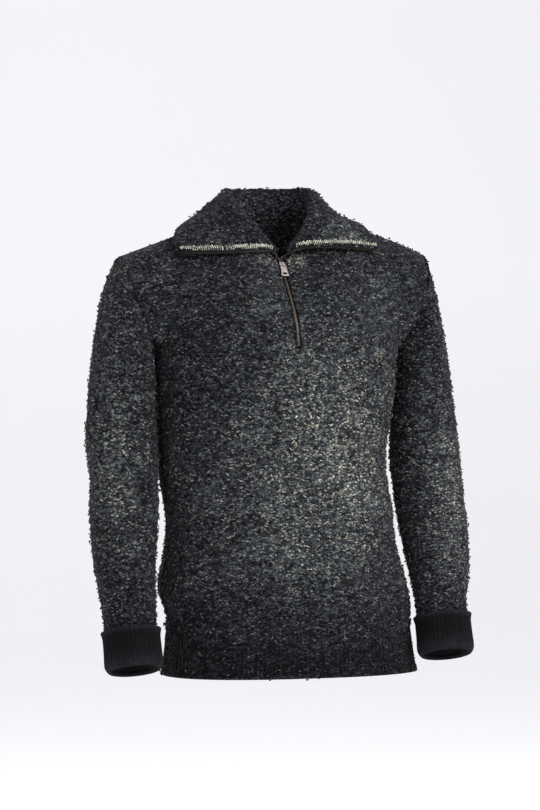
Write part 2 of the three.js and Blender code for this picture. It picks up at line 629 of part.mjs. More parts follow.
const ZIP_CLOSED = [
  { up: 0.02, start: 0.2, reach: TAPE.flange }, { up: 0.22, start: 0.2, reach: TAPE.flange },
  { up: 0.44, start: 0.2, reach: TAPE.flange }, { up: 0.66, start: 0.2, reach: TAPE.flange },
  { up: 0.78, start: 0.2, reach: TAPE.flange }, { up: 0.84, start: 0.2, reach: 2.6 },
  { up: 0.91, start: 0.3, reach: 2.7 }, { up: 0.99, start: 1.2, reach: 3.4 },
];

/** One zip tape with its half of the teeth as a bead along the edge. */
function zipTape(stations, side) {
  const { thick, bead } = TAPE;
  const points = stations.flatMap((s) => [
    [s.start, s.lift], [s.reach, s.lift - s.droop], [s.reach, s.lift - s.droop + thick],
    [s.start + bead, s.lift + thick], [s.start + bead, s.lift + thick + s.rise],
    [s.start, s.lift + thick + s.rise],
  ].map(([a, b]) => out(s.place, s.inward, a).addScaledVector(s.outward, b)));
  const size = 6;
  const last = points.length - size;
  const faces = gridFaces(stations.length, size, { around: true });
  const cap = [[0, 1, 2], [0, 2, 3], [0, 3, 4], [0, 4, 5]];
  for (const [a, b, c] of cap) faces.push([c, b, a], [a + last, b + last, c + last]);
  const geometry = new THREE.BufferGeometry().setFromPoints(points);
  geometry.setIndex(faces.flatMap(([a, b, c]) => (side < 0 ? [a, b, c] : [a, c, b])));
  return geometry;
}

/** Turns a shape's x, y and z to across, up along the slit and outward at the slider. */
function atSlider(front) {
  const { place, outward } = slitLine(front, 0.945);
  const across = vec(1, 0, 0);
  const up = outward.clone().cross(across).normalize();
  return new THREE.Matrix4().makeBasis(across, up, up.clone().cross(across).negate())
    .setPosition(place);
}

const SLIDER_TOP = KNIT + TAB_CLEAR + SLIDER.plate;

/** Slider body: two plates, the post that parts the teeth, and the arch for the pull tab. */
function slider(frame) {
  const { Manifold } = wasm;
  const { wide, long, plate, post, postLong, arch } = SLIDER;
  const block = (x, y, z, cx, cy, cz) => Manifold.cube([x, y, z], true).translate([cx, cy, cz]);
  const under = -SEAM - TAPE.thick - TAPE.droop - TAB_CLEAR - plate / 2;
  const archWide = TAB.eye[0] - 2 * TAB_CLEAR;
  const room = TAB.bar + 2 * TAB_CLEAR;
  const height = TAB.thick + 2 * TAB_CLEAR;
  const body = Manifold.union([
    block(wide, long, plate, 0, 0, SLIDER_TOP - plate / 2),
    block(wide, long, plate, 0, 0, under),
    block(post, postLong, SLIDER_TOP - under, 0, (long - postLong) / 2, (SLIDER_TOP + under) / 2),
    block(archWide, 1.6, height + 1, 0, room / 2 + 0.8, SLIDER_TOP + (height - 1) / 2),
    block(archWide, 1.6, height + 1, 0, -room / 2 - 0.8, SLIDER_TOP + (height - 1) / 2),
    block(archWide, room + 3.2, arch / 2, 0, 0, SLIDER_TOP + height + arch / 4 - 0.01),
  ]);
  return fromManifold(body).applyMatrix4(frame);
}

/** Flat pull tab with the eye that hangs in the arch and a window near its foot. */
function pullTab(frame) {
  const { long, top, bottom, thick, bar, eye, window } = TAB;
  const outline = new THREE.Shape([
    new THREE.Vector2(-top / 2, 0), new THREE.Vector2(-bottom / 2, -long + 1),
    new THREE.Vector2(-bottom / 2 + 1, -long), new THREE.Vector2(bottom / 2 - 1, -long),
    new THREE.Vector2(bottom / 2, -long + 1), new THREE.Vector2(top / 2, 0),
  ]);
  const opening = (width, height, from) => new THREE.Path([
    new THREE.Vector2(-width / 2, -from), new THREE.Vector2(width / 2, -from),
    new THREE.Vector2(width / 2, -from - height), new THREE.Vector2(-width / 2, -from - height),
  ]);
  outline.holes.push(opening(eye[0], eye[1], bar),
    opening(window[0], window[1], long - window[1] - 3));
  const tab = new THREE.ExtrudeGeometry(outline, { depth: thick, bevelEnabled: false });
  tab.deleteAttribute('uv');
  tab.deleteAttribute('normal');
  return tab.translate(0, bar / 2, SLIDER_TOP + TAB_CLEAR).applyMatrix4(frame);
}

function fromManifold(body) {
  const { vertProperties, triVerts } = body.getMesh();
  const geometry = new THREE.BufferGeometry();
  geometry.setAttribute('position', new THREE.BufferAttribute(vertProperties, 3));
  geometry.setIndex(new THREE.BufferAttribute(triVerts, 1));
  return geometry;
}

function mesh(name, geometry, color, roughness, metalness = 0) {
  const material = new THREE.MeshStandardMaterial({ color, roughness, metalness });
  const piece = new THREE.Mesh(mergeVertices(geometry, 1e-5), material);
  piece.name = name;
  return piece;
}

const wasm = await Module();
wasm.setup();

const BOUCLE = 0x2b3030;
const BLACK_RIB = 0x17181a;
const ZIP_METAL = 0xa08f88;
const front = panelGrid(-1);
const back = panelGrid(1);
const middle = collarMiddle(neckRim(front, back));
const sliderFrame = atSlider(front);
const group = new THREE.Group();
group.name = 'half_zip_pullover';
group.add(
  mesh('front_panel', panel(front), BOUCLE, 0.95),
  mesh('back_panel', panel(back), BOUCLE, 0.95),
  mesh('sleeve_right', sleeve('right'), BOUCLE, 0.95),
  mesh('sleeve_left', sleeve('left'), BOUCLE, 0.95),
  mesh('collar', collar(middle), BOUCLE, 0.95),
  mesh('hem_rib_front', hemRib(-1), BOUCLE, 0.95),
  mesh('hem_rib_back', hemRib(1), BOUCLE, 0.95),
  mesh('cuff_right', cuff('right'), BLACK_RIB, 0.9),
  mesh('cuff_left', cuff('left'), BLACK_RIB, 0.9),
  mesh('zip_tape_right', zipTape(zipStations(front, middle, -1), -1), BLACK_RIB, 0.6),
  mesh('zip_tape_left', zipTape(zipStations(front, middle, 1), 1), BLACK_RIB, 0.6),
  mesh('zip_slider', slider(sliderFrame), ZIP_METAL, 0.35, 1),
  mesh('zip_pull_tab', pullTab(sliderFrame), ZIP_METAL, 0.35, 1),
);
export default group;
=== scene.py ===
import json
import math
from itertools import product

import bmesh
import bpy
import numpy as np
from mathutils import Matrix, Vector, noise
from mathutils.bvhtree import BVHTree

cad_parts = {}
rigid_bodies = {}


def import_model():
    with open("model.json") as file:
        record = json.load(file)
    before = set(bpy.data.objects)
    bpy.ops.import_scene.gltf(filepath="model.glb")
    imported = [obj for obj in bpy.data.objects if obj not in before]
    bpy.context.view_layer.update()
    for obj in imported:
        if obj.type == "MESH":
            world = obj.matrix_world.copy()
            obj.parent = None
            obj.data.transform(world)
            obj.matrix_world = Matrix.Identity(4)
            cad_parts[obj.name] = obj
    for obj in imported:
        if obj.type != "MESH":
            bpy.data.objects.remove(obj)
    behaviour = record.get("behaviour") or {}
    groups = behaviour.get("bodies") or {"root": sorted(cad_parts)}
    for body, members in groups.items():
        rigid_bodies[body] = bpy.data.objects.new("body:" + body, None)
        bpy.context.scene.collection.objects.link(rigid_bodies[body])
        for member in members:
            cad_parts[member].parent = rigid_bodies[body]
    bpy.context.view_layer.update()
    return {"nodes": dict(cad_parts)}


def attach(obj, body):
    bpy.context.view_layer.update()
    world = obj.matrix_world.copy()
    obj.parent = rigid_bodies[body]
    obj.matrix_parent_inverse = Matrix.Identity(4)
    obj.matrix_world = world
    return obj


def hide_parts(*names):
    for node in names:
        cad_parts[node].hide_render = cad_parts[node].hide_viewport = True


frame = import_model()
nodes = frame["nodes"]
scene = bpy.context.scene
mm = 0.001
print("frame loaded")


# camera, light and floor

cameraSet = {"azimuth": -18, "distance": 4.3, "eye": -0.293, "aside": 1.6 * mm, "lens": 119.4}
lightSet = [
    {"name": "key", "at": (1.5, -2.4, 1.3), "size": 2.2, "watts": 105, "tint": (1.0, 1.0, 1.0)},
    {"name": "fill", "at": (-2.6, -2.2, 0.2), "size": 2.6, "watts": 30, "tint": (0.96, 0.98, 1.0)},
    {"name": "top", "at": (0.1, 0.6, 2.2), "size": 2.4, "watts": 36, "tint": (1.0, 1.0, 1.0)},
]
floorSet = {"down": -1.25, "back": 6.0, "rise": 5.0, "width": 24.0, "curve": 1.6, "steps": 14}


def makeCamera(s):
    turn = math.radians(s["azimuth"])
    back = Vector((math.sin(turn), -math.cos(turn), 0))
    right = Vector((math.cos(turn), math.sin(turn), 0))
    data = bpy.data.cameras.new("camera")
    data.lens, data.sensor_width, data.sensor_fit = s["lens"], 36, "AUTO"
    data.clip_start, data.clip_end = 0.1, 60
    cam = bpy.data.objects.new("camera", data)
    cam.location = back * s["distance"] - right * s["aside"] + Vector((0, 0, s["eye"]))
    cam.rotation_euler = (-back).to_track_quat("-Z", "Y").to_euler()
    scene.collection.objects.link(cam)
    scene.camera = cam


def makeLight(s):
    data = bpy.data.lights.new(s["name"], "AREA")
    data.size, data.energy, data.color = s["size"], s["watts"], s["tint"]
    lamp = bpy.data.objects.new(s["name"], data)
    lamp.location = s["at"]
    aim = Vector((0, 0, -0.35)) - lamp.location
    lamp.rotation_euler = aim.to_track_quat("-Z", "Y").to_euler()
    scene.collection.objects.link(lamp)


def makeFloor(s):
    sheet = bmesh.new()
    half = s["width"] / 2
    # the floor's front edge is drawn back, then swept up round a curve into the backdrop
    edge = [sheet.verts.new((x, -half, s["down"])) for x in (-half, half)]
    strip = sheet.edges.new(edge)
    pulled = bmesh.ops.extrude_edge_only(sheet, edges=[strip])["geom"]
    tail = [v for v in pulled if isinstance(v, bmesh.types.BMVert)]
    bmesh.ops.translate(sheet, verts=tail, vec=(0, half + s["back"], 0))
    line = [e for e in pulled if isinstance(e, bmesh.types.BMEdge)]
    swept = bmesh.ops.spin(sheet, geom=tail + line, cent=(0, s["back"], s["down"] + s["curve"]),
                           axis=(1, 0, 0), angle=math.radians(90), steps=s["steps"])["geom_last"]
    wall = bmesh.ops.extrude_edge_only(
        sheet, edges=[e for e in swept if isinstance(e, bmesh.types.BMEdge)])["geom"]
    bmesh.ops.translate(sheet, verts=[v for v in wall if isinstance(v, bmesh.types.BMVert)],
                        vec=(0, 0, s["rise"]))
    bmesh.ops.remove_doubles(sheet, verts=sheet.verts, dist=mm)
    bmesh.ops.recalc_face_normals(sheet, faces=sheet.faces)
    mesh = bpy.data.meshes.new("floor")
    sheet.to_mesh(mesh)
    sheet.free()
    mesh.shade_smooth()
    floor = bpy.data.objects.new("floor", mesh)
    scene.collection.objects.link(floor)
    return floor


makeCamera(cameraSet)
for lamp in lightSet:
    makeLight(lamp)
floor = makeFloor(floorSet)
world = bpy.data.worlds.new("studio")
world.use_nodes = True
world.node_tree.nodes["Background"].inputs["Color"].default_value = (0.95, 0.95, 0.97, 1)
world.node_tree.nodes["Background"].inputs["Strength"].default_value = 0.62
scene.world = world
scene.view_settings.view_transform = "Standard"
print("camera, lights and floor made")


# materials

# the yarn runs from cold grey through to cream, round a middle tone that follows zones of cream flecks
# mixed with painted light and shade
yarnSet = {"tone": 0.030, "gain": 1.45, "brightest": 0.52, "tinted": (0.03, 0.17),
           "cold": (0.91, 0.98, 1.13), "cream": (1.04, 1.08, 0.84)}


class Nodes:
    # short hand for joining shader nodes
    def __init__(self, name):
        self.mat = bpy.data.materials.new(name)
        self.mat.use_nodes = True
        self.tree = self.mat.node_tree
        self.shader = self.tree.nodes["Principled BSDF"]

    def add(self, kind, **sets):
        node = self.tree.nodes.new(kind)
        for key, value in sets.items():
            setattr(node, key, value)
        return node

    def put(self, socket, value):
        if hasattr(value, "links"):
            self.tree.links.new(value, socket)
        else:
            socket.default_value = value

    def math(self, operation, a, b=0.0, c=0.0):
        node = self.add("ShaderNodeMath", operation=operation)
        for socket, value in zip(node.inputs, (a, b, c)):
            self.put(socket, value)
        return node.outputs[0]

    def step(self, value, low, high):
        node = self.add("ShaderNodeMapRange", interpolation_type="SMOOTHSTEP")
        self.put(node.inputs["Value"], value)
        self.put(node.inputs["From Min"], low)
        self.put(node.inputs["From Max"], high)
        return node.outputs["Result"]

    def mix(self, share, a, b):
        node = self.add("ShaderNodeMix", data_type="RGBA")
        self.put(node.inputs[0], share)
        self.put(node.inputs[6], (*a, 1) if isinstance(a, tuple) else a)
        self.put(node.inputs[7], (*b, 1) if isinstance(b, tuple) else b)
        return node.outputs[2]

    def attribute(self, name):
        return self.add("ShaderNodeAttribute", attribute_name=name).outputs["Fac"]

    def objectSpace(self, scale):
        node = self.add("ShaderNodeMapping", vector_type="POINT")
        coords = self.add("ShaderNodeTexCoord").outputs["Object"]
        self.put(node.inputs["Vector"], coords)
        node.inputs["Scale"].default_value = scale
        return node.outputs["Vector"]

    def noise(self, vector, scale, detail=2.0, rough=0.55, distortion=0.0):
        node = self.add("ShaderNodeTexNoise")
        self.put(node.inputs["Vector"], vector)
        node.inputs["Scale"].default_value = scale
        node.inputs["Detail"].default_value = detail
        node.inputs["Roughness"].default_value = rough
        node.inputs["Distortion"].default_value = distortion
        return node

    def bump(self, height, strength, distance):
        node = self.add("ShaderNodeBump")
        node.inputs["Strength"].default_value = strength
        node.inputs["Distance"].default_value = distance
        self.put(node.inputs["Height"], height)
        self.put(self.shader.inputs["Normal"], node.outputs["Normal"])

    def colour(self, value):
        self.put(self.shader.inputs["Base Color"], value)


def setCloth(look, rough=0.95, sheen=0.03):
    look.shader.inputs["Roughness"].default_value = rough
    look.shader.inputs["Specular IOR Level"].default_value = 0.06
    look.shader.inputs["Sheen Weight"].default_value = sheen
    look.shader.inputs["Sheen Roughness"].default_value = 0.5


def yarnTone(look, random, spread, y=yarnSet):
    # random is about 0 and spread by 1; returns the colour
    power = look.math("MULTIPLY_ADD", look.attribute("zone"), y["gain"],
                      look.math("MULTIPLY", random, spread))
    tone = look.math("MULTIPLY", look.math("EXPONENT", power), y["tone"])
    tone = look.math("MINIMUM", tone, y["brightest"])
    colour = look.add("ShaderNodeVectorMath", operation="SCALE")
    look.put(colour.inputs[0], look.mix(look.step(tone, *y["tinted"]), y["cold"], y["cream"]))
    look.put(colour.inputs["Scale"], tone)
    return colour.outputs[0]


def centred(look, value, reach):
    # a value round 0.5, moved to 0 and spread out
    return look.math("MULTIPLY", look.math("SUBTRACT", value, 0.5), 1 / reach)


def boucleKnit(name):
    look = Nodes(name)
    setCloth(look)
    wander = look.noise(look.objectSpace((1, 1, 1)), 190, 2)
    away = look.add("ShaderNodeVectorMath", operation="MULTIPLY_ADD")
    look.put(away.inputs[0], wander.outputs["Color"])
    away.inputs[1].default_value = (0.9, 0.9, 0.9)
    look.put(away.inputs[2], look.objectSpace((200, 200, 340)))
    nub = look.add("ShaderNodeTexVoronoi", feature="F1")
    look.put(nub.inputs["Vector"], away.outputs[0])
    nub.inputs["Scale"].default_value = 1.0
    pick = look.add("ShaderNodeSeparateColor")
    look.put(pick.inputs[0], nub.outputs["Color"])
    fibre = look.noise(look.objectSpace((270, 270, 460)), 1.0, 2, 0.5, 0.6).outputs["Fac"]
    course = look.noise(look.objectSpace((60, 60, 130)), 1.0, 2, 0.5, 0.5).outputs["Fac"]
    random = look.math("ADD", look.math("MULTIPLY", centred(look, pick.outputs[0], 0.29), 0.55),
                       look.math("MULTIPLY", centred(look, fibre, 0.12), 0.55))
    random = look.math("ADD", random, look.math("MULTIPLY", centred(look, course, 0.13), 0.42))
    # painted shade: the hollows between the loops are darkened
    paintedHollowShade = look.math("ADD", look.step(look.attribute("loft"), 0.75, 0.05),
                       look.step(nub.outputs["Distance"], 0.22, 0.72))
    random = look.math("SUBTRACT", look.math("ADD", random, 0.38), look.math("MULTIPLY", paintedHollowShade, 1.25))
    look.colour(yarnTone(look, random, 0.95))
    height = look.math("ADD", look.math("MULTIPLY", nub.outputs["Distance"], -0.8),
                       look.math("MULTIPLY", fibre, 0.6))
    look.bump(height, 1.0, 2.2 * mm)
    return look.mat


def boucleYarn(name):
    look = Nodes(name)
    setCloth(look, 0.95, 0.04)
    fibre = look.noise(look.objectSpace((900, 900, 900)), 1.0, 2, 0.6).outputs["Fac"]
    random = look.math("ADD", look.math("MULTIPLY", centred(look, look.attribute("shade"), 0.29), 0.8),
                       look.math("MULTIPLY", centred(look, fibre, 0.13), 0.3))
    look.colour(yarnTone(look, look.math("ADD", random, 0.35), 0.75))
    look.bump(fibre, 0.5, 0.5 * mm)
    return look.mat


def creamYarn(name):
    look = Nodes(name)
    setCloth(look, 0.95, 0.04)
    fibre = look.noise(look.objectSpace((700, 700, 700)), 1.0, 3, 0.6).outputs["Fac"]
    patch = look.noise(look.objectSpace((170, 170, 170)), 1.0, 1).outputs["Fac"]
    share = look.math("MULTIPLY_ADD", fibre, 0.5, look.math("MULTIPLY", patch, 0.5))
    look.colour(look.mix(look.step(share, 0.36, 0.60), (0.10, 0.11, 0.09), (0.55, 0.57, 0.45)))
    look.bump(fibre, 0.5, 0.5 * mm)
    return look.mat


def blackRib(name):
    look = Nodes(name)
    setCloth(look, 0.9, 0.02)
    fuzz = look.noise(look.objectSpace((420, 420, 300)), 1.0, 3, 0.6).outputs["Fac"]
    patch = look.noise(look.objectSpace((60, 60, 60)), 1.0, 2).outputs["Fac"]
    lift = look.math("MULTIPLY_ADD", fuzz, 0.7, look.math("MULTIPLY", patch, 0.3))
    colour = look.mix(look.step(lift, 0.35, 0.65), (0.006, 0.006, 0.007), (0.015, 0.015, 0.0185))
    # painted shade: the troughs between the ribs, at low loft, are darkened to near black
    crest = look.step(look.attribute("loft"), 0.15, 0.85)
    look.colour(look.mix(crest, (0.0015, 0.0015, 0.002), colour))
    look.bump(lift, 0.7, 0.8 * mm)
    return look.mat


def wovenTape(name):
    look = Nodes(name)
    setCloth(look, 0.8, 0.0)
    weave = look.add("ShaderNodeTexChecker")
    look.put(weave.inputs["Vector"], look.objectSpace((1, 1, 1)))
    weave.inputs["Scale"].default_value = 1500
    fuzz = look.noise(look.objectSpace((700, 700, 700)), 1.0, 2).outputs["Fac"]
    lift = look.math("MULTIPLY_ADD", fuzz, 0.5, look.math("MULTIPLY", weave.outputs["Fac"], 0.5))
    look.colour(look.mix(lift, (0.006, 0.006, 0.006), (0.024, 0.022, 0.021)))
    look.bump(lift, 0.5, 0.3 * mm)
    return look.mat


def metal(name, bright, dull, rough):
    look = Nodes(name)
    look.shader.inputs["Metallic"].default_value = 0.9
    look.shader.inputs["Roughness"].default_value = rough
    wear = look.noise(look.objectSpace((180, 180, 700)), 1.0, 4, 0.6).outputs["Fac"]
    look.colour(look.mix(look.step(wear, 0.3, 0.7), dull, bright))
    look.bump(wear, 0.15, 0.2 * mm)
    return look.mat


def paleFloor(name):
    look = Nodes(name)
    look.shader.inputs["Roughness"].default_value = 0.85
    tone = look.noise(look.objectSpace((0.5, 0.5, 0.5)), 1.0, 2).outputs["Fac"]
    look.colour(look.mix(tone, (0.88, 0.88, 0.895), (0.91, 0.91, 0.925)))
    look.shader.inputs["Emission Color"].default_value = (0.95, 0.95, 0.97, 1)
    look.shader.inputs["Emission Strength"].default_value = 0.20
    return look.mat


matKnit = boucleKnit("boucle_knit")
matYarn = boucleYarn("boucle_yarn")
matRib = blackRib("black_rib_knit")
matTape = wovenTape("zip_tape_weave")
matCream = creamYarn("cream_yarn")
matTeeth = metal("teeth_bronze", (0.10, 0.08, 0.066), (0.035, 0.028, 0.024), 0.45)
matSlider = metal("slider_metal", (0.44, 0.37, 0.35), (0.26, 0.215, 0.205), 0.4)
floor.data.materials.append(paleFloor("pale_floor"))
print("materials made")


# cloth shells from the CAD forms

def pointsOf(mesh):
    flat = np.empty(len(mesh.vertices) * 3)
    mesh.vertices.foreach_get("co", flat)
    return flat.reshape(-1, 3)


def normalsOf(mesh):
    flat = np.empty(len(mesh.vertices) * 3)
    mesh.vertex_normals.foreach_get("vector", flat)
    return flat.reshape(-1, 3)


def edgesOf(mesh):
    flat = np.empty(len(mesh.edges) * 2, dtype=np.int64)
    mesh.edges.foreach_get("vertices", flat)
    return flat.reshape(-1, 2)


def middleLine(names, step=0.02):
    # rows of height, x and y through the middle of a tube's height slices
    spots = np.concatenate([pointsOf(nodes[name].data) for name in names])
    rows = []
    for height in np.arange(spots[:, 2].min(), spots[:, 2].max(), step):
        near = spots[abs(spots[:, 2] - height) < step]
        if len(near):
            rows.append([height, *((near[:, :2].min(0) + near[:, :2].max(0)) / 2)])
    return np.array(rows)


def middleAt(line, heights):
    return np.column_stack([np.interp(heights, line[:, 0], line[:, i]) for i in (1, 2)] + [heights])


bodyLine = middleLine(["front_panel", "back_panel", "hem_rib_front", "hem_rib_back"])
armLine = {side: middleLine([f"sleeve_{side}", f"cuff_{side}"]) for side in ("right", "left")}

# Folds are soft lines with a bend: start, middle and end in mm, width, and height out of the cloth.
bodyFolds = [
    # viewer's left armpit, then right
    ((-176, -62, -196), (-150, -88, -186), (-112, -104, -182), 11, -7),
    ((-180, -50, -226), (-150, -90, -222), (-100, -118, -232), 12, 5),
    ((-178, -52, -252), (-140, -98, -258), (-96, -122, -284), 13, -5),
    ((182, -58, -200), (152, -90, -196), (108, -110, -206), 11, -6),
    ((186, -50, -238), (160, -88, -244), (122, -112, -268), 13, 5),
    ((186, -40, -290), (170, -74, -330), (160, -88, -392), 12, -6),
    # the body's sides where the sleeves hang against them
    ((-180, 34, -262), (-186, 28, -370), (-184, 24, -500), 26, 5),
    ((184, -40, -330), (182, -44, -400), (180, -44, -480), 20, -3.5),
    # waist and belly, nearly level
    ((-172, -66, -566), (-110, -112, -548), (-36, -128, -540), 12, -5),
    ((-168, -70, -528), (-104, -116, -516), (-20, -132, -522), 14, 4),
    ((-150, -84, -492), (-90, -120, -478), (-30, -132, -484), 12, -3.5),
    ((20, -130, -560), (90, -118, -544), (176, -66, -552), 13, -5),
    ((10, -134, -516), (88, -122, -500), (180, -60, -512), 14, 4),
    ((70, -124, -596), (120, -104, -584), (178, -60, -590), 11, -4),
    ((-120, -106, -598), (-60, -126, -590), (10, -132, -596), 12, -3.5),
    # the pull down from the zip's foot
    ((-14, -130, -222), (-30, -134, -290), (-26, -136, -352), 13, -3.5),
    ((22, -128, -226), (44, -132, -300), (48, -134, -372), 14, 3),
    # back: armpits, blade hollow, waist
    ((-176, 40, -206), (-140, 78, -222), (-92, 96, -262), 13, -6),
    ((-180, 30, -250), (-146, 74, -272), (-104, 96, -322), 14, 5),
    ((180, 44, -212), (142, 80, -232), (90, 98, -278), 13, -6),
    ((184, 30, -262), (150, 74, -288), (112, 94, -346), 14, 5),
    ((-160, 66, -556), (-70, 108, -536), (30, 116, -548), 14, -6),
    ((-140, 78, -512), (-40, 112, -500), (60, 114, -508), 15, 4),
    ((40, 114, -582), (110, 98, -566), (174, 56, -574), 13, -5),
    ((-60, 110, -598), (10, 116, -588), (90, 106, -600), 13, 3.5),
    ((6, 106, -130), (14, 112, -210), (8, 116, -300), 18, -4),
]
armFolds = {
    "right": [
        ((-214, -44, -262), (-211, -46, -380), (-214, -50, -480), 24, 5),
        ((-300, -40, -300), (-270, -74, -318), (-232, -66, -300), 11, -5),
        ((-304, -30, -352), (-276, -70, -372), (-234, -62, -362), 12, 4),
        ((-306, -50, -424), (-280, -84, -408), (-240, -78, -396), 10, -6),
        ((-304, -46, -452), (-276, -90, -444), (-238, -84, -430), 11, 4.5),
        ((-300, -60, -486), (-268, -96, -474), (-234, -84, -462), 10, -4.5),
        ((-298, -76, -596), (-268, -104, -584), (-234, -90, -592), 10, -4),
        ((-290, 20, -416), (-256, 40, -430), (-222, 16, -440), 12, -5),
        ((-292, 24, -324), (-258, 52, -340), (-222, 30, -352), 13, 4),
        ((-294, 0, -500), (-262, 22, -512), (-228, 2, -520), 11, 4),
        ((-288, -20, -604), (-258, -4, -596), (-230, -24, -588), 10, -4),
    ],
    "left": [
        ((232, -56, -262), (262, -76, -290), (296, -46, -300), 12, -5),
        ((240, -64, -330), (276, -78, -352), (312, -40, -350), 12, 4),
        ((250, -82, -420), (286, -88, -432), (322, -50, -446), 10, -6),
        ((250, -86, -452), (284, -94, -468), (320, -58, -478), 11, 4.5),
        ((250, -90, -490), (280, -100, -506), (314, -70, -514), 10, -4.5),
        ((252, -98, -584), (280, -108, -596), (310, -80, -600), 10, -4),
        ((240, 20, -428), (272, 40, -436), (306, 14, -424), 12, -5),
        ((236, 34, -330), (270, 52, -342), (306, 22, -330), 13, 4),
        ((246, 0, -512), (276, 20, -520), (308, -6, -508), 11, 4),
        ((250, -26, -600), (276, -10, -592), (304, -30, -596), 10, -4),
    ],
}


def foldLift(points, folds):
    # how far the folds lift each point, in metres
    lift = np.zeros(len(points))
    for start, bend, end, width, high in folds:
        a, b, c = (np.array(p) * mm for p in (start, bend, end))
        nearest = np.full(len(points), 1e9)
        spot = np.zeros(len(points))
        for t in np.linspace(0, 1, 15):
            away = np.linalg.norm(points - ((1 - t) ** 2 * a + 2 * t * (1 - t) * b + t * t * c), axis=1)
            closer = away < nearest
            nearest[closer], spot[closer] = away[closer], t
        fade = np.sin(np.pi * np.clip(spot * 0.84 + 0.08, 0, 1)) ** 0.7
        lift += high * mm * fade * np.exp(-((nearest / (width * mm * (0.75 + 0.5 * spot))) ** 2))
    return lift


def mergedForm(name):
    # the CAD node's loose triangles joined up into one closed form of mostly quads
    form = bmesh.new()
    form.from_mesh(nodes[name].data)
    bmesh.ops.remove_doubles(form, verts=form.verts, dist=0.02 * mm)
    bmesh.ops.join_triangles(form, faces=form.faces, angle_face_threshold=math.radians(60),
                             angle_shape_threshold=math.radians(80))
    return form


def markSides(form, line, lower=0.04, gap=3.2 * mm, both=False):
    # material index 1 is the side that shows, 0 the side that doesn't
    tree = BVHTree.FromBMesh(form)
    for face in form.faces:
        centre = face.calc_center_median()
        faced = tree.ray_cast(centre + face.normal * 0.2 * mm, face.normal, gap)[0] is not None
        if both:
            outside = not faced
        else:
            middle = Vector(middleAt(line, [centre.z - lower])[0])
            outside = face.normal.dot(centre - middle) > 0 and not faced
        face.material_index = int(outside)


def evaluated(piece):
    graph = bpy.context.evaluated_depsgraph_get()
    return bpy.data.meshes.new_from_object(piece.evaluated_get(graph))


def linked(name, mesh):
    piece = bpy.data.objects.new(name, mesh)
    scene.collection.objects.link(piece)
    return piece


def meshFrom(form, name):
    mesh = bpy.data.meshes.new(name)
    form.to_mesh(mesh)
    form.free()
    return mesh


def treeOf(mesh):
    form = bmesh.new()
    form.from_mesh(mesh)
    tree = BVHTree.FromBMesh(form)
    form.free()
    return tree


def placed(mesh, points):
    mesh.vertices.foreach_set("co", points.ravel())
    mesh.update()


ribCutSet = {"level": 2.5, "short": 6, "upright": 20, "around": 1, "along": 2}
creaseOver = 68   # degrees between faces


def cutRibs(form, s):
    # one more edge loop in each rib, then two along its height
    level = [e for e in form.edges if abs((e.verts[0].co - e.verts[1].co).z) < s["level"] * mm
             and e.calc_length() < s["short"] * mm]
    bmesh.ops.subdivide_edges(form, edges=level, cuts=s["around"], use_grid_fill=True)
    upright = [e for e in form.edges if abs((e.verts[0].co - e.verts[1].co).z) > s["upright"] * mm]
    bmesh.ops.subdivide_edges(form, edges=upright, cuts=s["along"], use_grid_fill=True)


def clothShell(s):
    form = mergedForm(s["node"])
    if s.get("ribs"):
        cutRibs(form, ribCutSet)
    markSides(form, s["line"], both=s.get("both", False))
    crease = form.edges.layers.float.new("crease_edge")
    for edge in form.edges:
        if edge.is_manifold and edge.calc_face_angle() > math.radians(creaseOver):
            edge[crease] = 1.0
    mesh = meshFrom(form, s["name"] + "_form")
    mesh.materials.append(matKnit)
    mesh.materials.append(matKnit)
    piece = linked(s["name"], mesh)
    smooth = piece.modifiers.new("smooth", "SUBSURF")
    smooth.levels = smooth.render_levels = s["levels"]
    fine = evaluated(piece)
    shell = bmesh.new()
    shell.from_mesh(fine)
    shown = {e for f in shell.faces if f.material_index == 1 for e in f.edges}
    if s.get("fine", True):
        bmesh.ops.subdivide_edges(shell, edges=list(shown), cuts=1, use_grid_fill=True)
    piece.modifiers.clear()
    piece.data = meshFrom(shell, s["name"])
    return piece


def shownMask(mesh, rings=2):
    # 1 on the side that shows, falling to 0 at its rims
    side = np.empty(len(mesh.polygons), dtype=np.int32)
    mesh.polygons.foreach_get("material_index", side)
    corner = np.empty(len(mesh.loops), dtype=np.int64)
    mesh.loops.foreach_get("vertex_index", corner)
    count = np.empty(len(mesh.polygons), dtype=np.int64)
    mesh.polygons.foreach_get("loop_total", count)
    hidden = np.zeros(len(mesh.vertices), dtype=bool)
    hidden[corner[np.repeat(side == 0, count)]] = True
    touching = np.zeros(len(mesh.vertices))
    touching[corner[np.repeat(side == 1, count)]] = 1
    mask = np.where(hidden, 0.0, 1.0)
    edges = edgesOf(mesh)
    joined = np.bincount(edges.ravel(), minlength=len(mask))
    for _ in range(rings):
        around = np.bincount(edges[:, 0], mask[edges[:, 1]], len(mask)) + \
            np.bincount(edges[:, 1], mask[edges[:, 0]], len(mask))
        mask = np.where(hidden, 0.0, 0.5 * mask + 0.5 * around / np.maximum(joined, 1))
    return mask, touching


